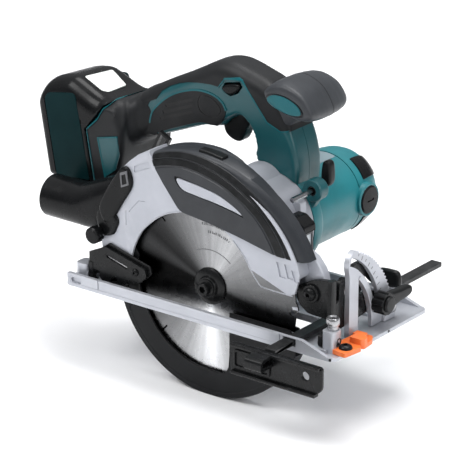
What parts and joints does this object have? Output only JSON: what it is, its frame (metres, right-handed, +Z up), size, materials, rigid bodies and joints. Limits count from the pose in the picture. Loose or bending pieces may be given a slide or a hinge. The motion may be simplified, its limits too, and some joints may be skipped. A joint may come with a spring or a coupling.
{
  "type": "cordless circular saw",
  "caption": "Cordless circular saw on a flat base plate, with tilting and depth frames, sprung lower guard, gear train, motor, rear slide-on battery and rip fence.",
  "frame": {"origin": "on the sole's flat underside, under the blade's axis, at the middle of the base's width", "axes": "+X the cutting direction, +Y towards the motor, +Z up"},
  "size_m": [0.3377, 0.2387, 0.2531],
  "materials": {
    "teal_plastic": "moulded, fine grain",
    "black_plastic": "moulded",
    "dark_grey_plastic": "moulded, fine grain",
    "black_rubber": "ribbed",
    "cast_aluminium": "die cast",
    "brushed_steel": "ground",
    "black_steel": "black coated",
    "orange_plastic": "moulded",
    "copper": "copper windings and bars",
    "lamp_lens": "clear"
  },
  "bodies": {
    "base": {"base_plate": "cast_aluminium", "front_tilt_pin": "brushed_steel", "rear_tilt_pin": "brushed_steel", "bevel_quadrant": "cast_aluminium", "sight_guide": "orange_plastic"},
    "rip_fence": {"rip_fence": "black_steel"},
    "fence_clamp": {"fence_clamp_screw": "black_steel"},
    "tilt_frame": {"front_tilt_bracket": "black_steel", "rear_tilt_bracket": "black_steel", "depth_guide": "black_steel", "depth_pivot_pin": "brushed_steel", "bevel_clamp_bolt": "brushed_steel"},
    "bevel_lever": {"bevel_lever": "black_plastic"},
    "saw_body": {"blade_case": "cast_aluminium", "hood_cover": "dark_grey_plastic", "dust_nozzle": "black_plastic", "nozzle_screw": "black_plastic", "lamp_housing": "dark_grey_plastic", "lamp_lens": "lamp_lens", "gear_case": "cast_aluminium", "gear_plate": "cast_aluminium", "motor_housing": "teal_plastic", "end_cover": "teal_plastic", "brush_cap_front": "black_plastic", "brush_cap_rear": "black_plastic", "stator": "brushed_steel", "spindle_bearing": "brushed_steel", "spindle_bush": "brushed_steel", "motor_bearing_front": "brushed_steel", "motor_bearing_rear": "brushed_steel", "guard_spring": "brushed_steel", "handle_near": "teal_plastic", "handle_far": "teal_plastic", "grip_pad_near": "black_rubber", "grip_pad_far": "black_rubber", "front_knob": "black_plastic", "switch_body": "black_plastic", "battery_mount": "black_plastic", "depth_bolt": "brushed_steel"},
    "blade_set": {"saw_blade": "brushed_steel", "outer_flange": "black_steel", "inner_flange": "brushed_steel", "blade_bolt": "brushed_steel", "spindle": "brushed_steel", "driven_gear": "brushed_steel"},
    "second_shaft": {"intermediate_shaft": "brushed_steel", "intermediate_gear": "brushed_steel"},
    "armature": {"armature_shaft": "brushed_steel", "armature_core": "copper", "commutator": "copper", "fan": "black_plastic"},
    "lower_guard": {"lower_guard": "black_steel"},
    "trigger": {"trigger": "black_plastic"},
    "lock_off": {"lock_off_button": "black_plastic"},
    "battery": {"battery_case": "black_plastic"},
    "battery_release": {"battery_release": "dark_grey_plastic"},
    "shaft_lock": {"shaft_lock": "black_plastic"},
    "depth_lever": {"depth_lever": "black_plastic"},
    "hex_wrench": {"hex_wrench": "brushed_steel"}
  },
  "joints": [
    {"name": "rip_fence_slide", "type": "slide", "parent": "base", "child": "rip_fence", "axis": [0, -1, 0], "range_m": [-0.023, 0.08]},
    {"name": "fence_clamp_turn", "type": "hinge", "parent": "base", "child": "fence_clamp", "pos_m": [0.08895, 0.05531, 0.0129], "axis": [0, 0, 1], "range_deg": [-90, 180]},
    {"name": "bevel_tilt", "type": "hinge", "parent": "base", "child": "tilt_frame", "pos_m": [0, -0.04886, 0.0083], "axis": [1, 0, 0], "range_deg": [0, 50]},
    {"name": "bevel_lever_turn", "type": "hinge", "parent": "tilt_frame", "child": "bevel_lever", "pos_m": [0.12075, 0.01132, 0.02219], "axis": [1, 0, 0], "range_deg": [0, 70]},
    {"name": "depth_swing", "type": "hinge", "parent": "tilt_frame", "child": "saw_body", "pos_m": [0.0931, -0.03687, 0.03964], "axis": [0, 1, 0], "range_deg": [0, 32]},
    {"name": "blade_spin", "type": "hinge", "parent": "saw_body", "child": "blade_set", "pos_m": [0, -0.04222, 0.02351], "axis": [0, 1, 0], "continuous": true},
    {"name": "second_shaft_spin", "type": "hinge", "parent": "saw_body", "child": "second_shaft", "pos_m": [0.01005, -0.01383, 0.04424], "axis": [0, 1, 0], "continuous": true},
    {"name": "armature_spin", "type": "hinge", "parent": "saw_body", "child": "armature", "pos_m": [0.02212, 0.04609, 0.06913], "axis": [0, 1, 0], "continuous": true},
    {"name": "lower_guard_swing", "type": "hinge", "parent": "saw_body", "child": "lower_guard", "pos_m": [0, -0.03964, 0.02351], "axis": [0, 1, 0], "range_deg": [0, 112], "stiffness_Nm_per_rad": 0.06, "springref_deg": -114.59},
    {"name": "trigger_squeeze", "type": "hinge", "parent": "saw_body", "child": "trigger", "pos_m": [-0.01106, 0.02028, 0.14749], "axis": [0, 1, 0], "range_deg": [0, 8], "stiffness_Nm_per_rad": 0.6, "springref_deg": -14.32},
    {"name": "lock_off_press", "type": "slide", "parent": "saw_body", "child": "lock_off", "axis": [0, 1, 0], "range_m": [0, 0.003], "stiffness_N_per_m": 400, "springref_m": -0.004},
    {"name": "battery_slide", "type": "slide", "parent": "saw_body", "child": "battery", "axis": [-0.165, 0, 0.9863], "range_m": [0, 0.1]},
    {"name": "battery_release_press", "type": "slide", "parent": "battery", "child": "battery_release", "axis": [0.165, 0, -0.9863], "range_m": [0, 0.003], "stiffness_N_per_m": 400, "springref_m": -0.004},
    {"name": "shaft_lock_press", "type": "slide", "parent": "saw_body", "child": "shaft_lock", "axis": [1, 0, 0], "range_m": [0, 0.0028], "stiffness_N_per_m": 400, "springref_m": -0.004},
    {"name": "depth_lever_turn", "type": "hinge", "parent": "saw_body", "child": "depth_lever", "pos_m": [-0.08407, -0.01106, 0.02351], "axis": [0, 1, 0], "range_deg": [0, 60]},
    {"name": "hex_wrench_slide", "type": "slide", "parent": "saw_body", "child": "hex_wrench", "axis": [0, 1, 0], "range_m": [0, 0.06]}
  ],
  "couplings": [
    {"joint": "second_shaft_spin", "follows": "blade_spin", "ratio": -2.125},
    {"joint": "armature_spin", "follows": "blade_spin", "ratio": 5.8438}
  ]
}
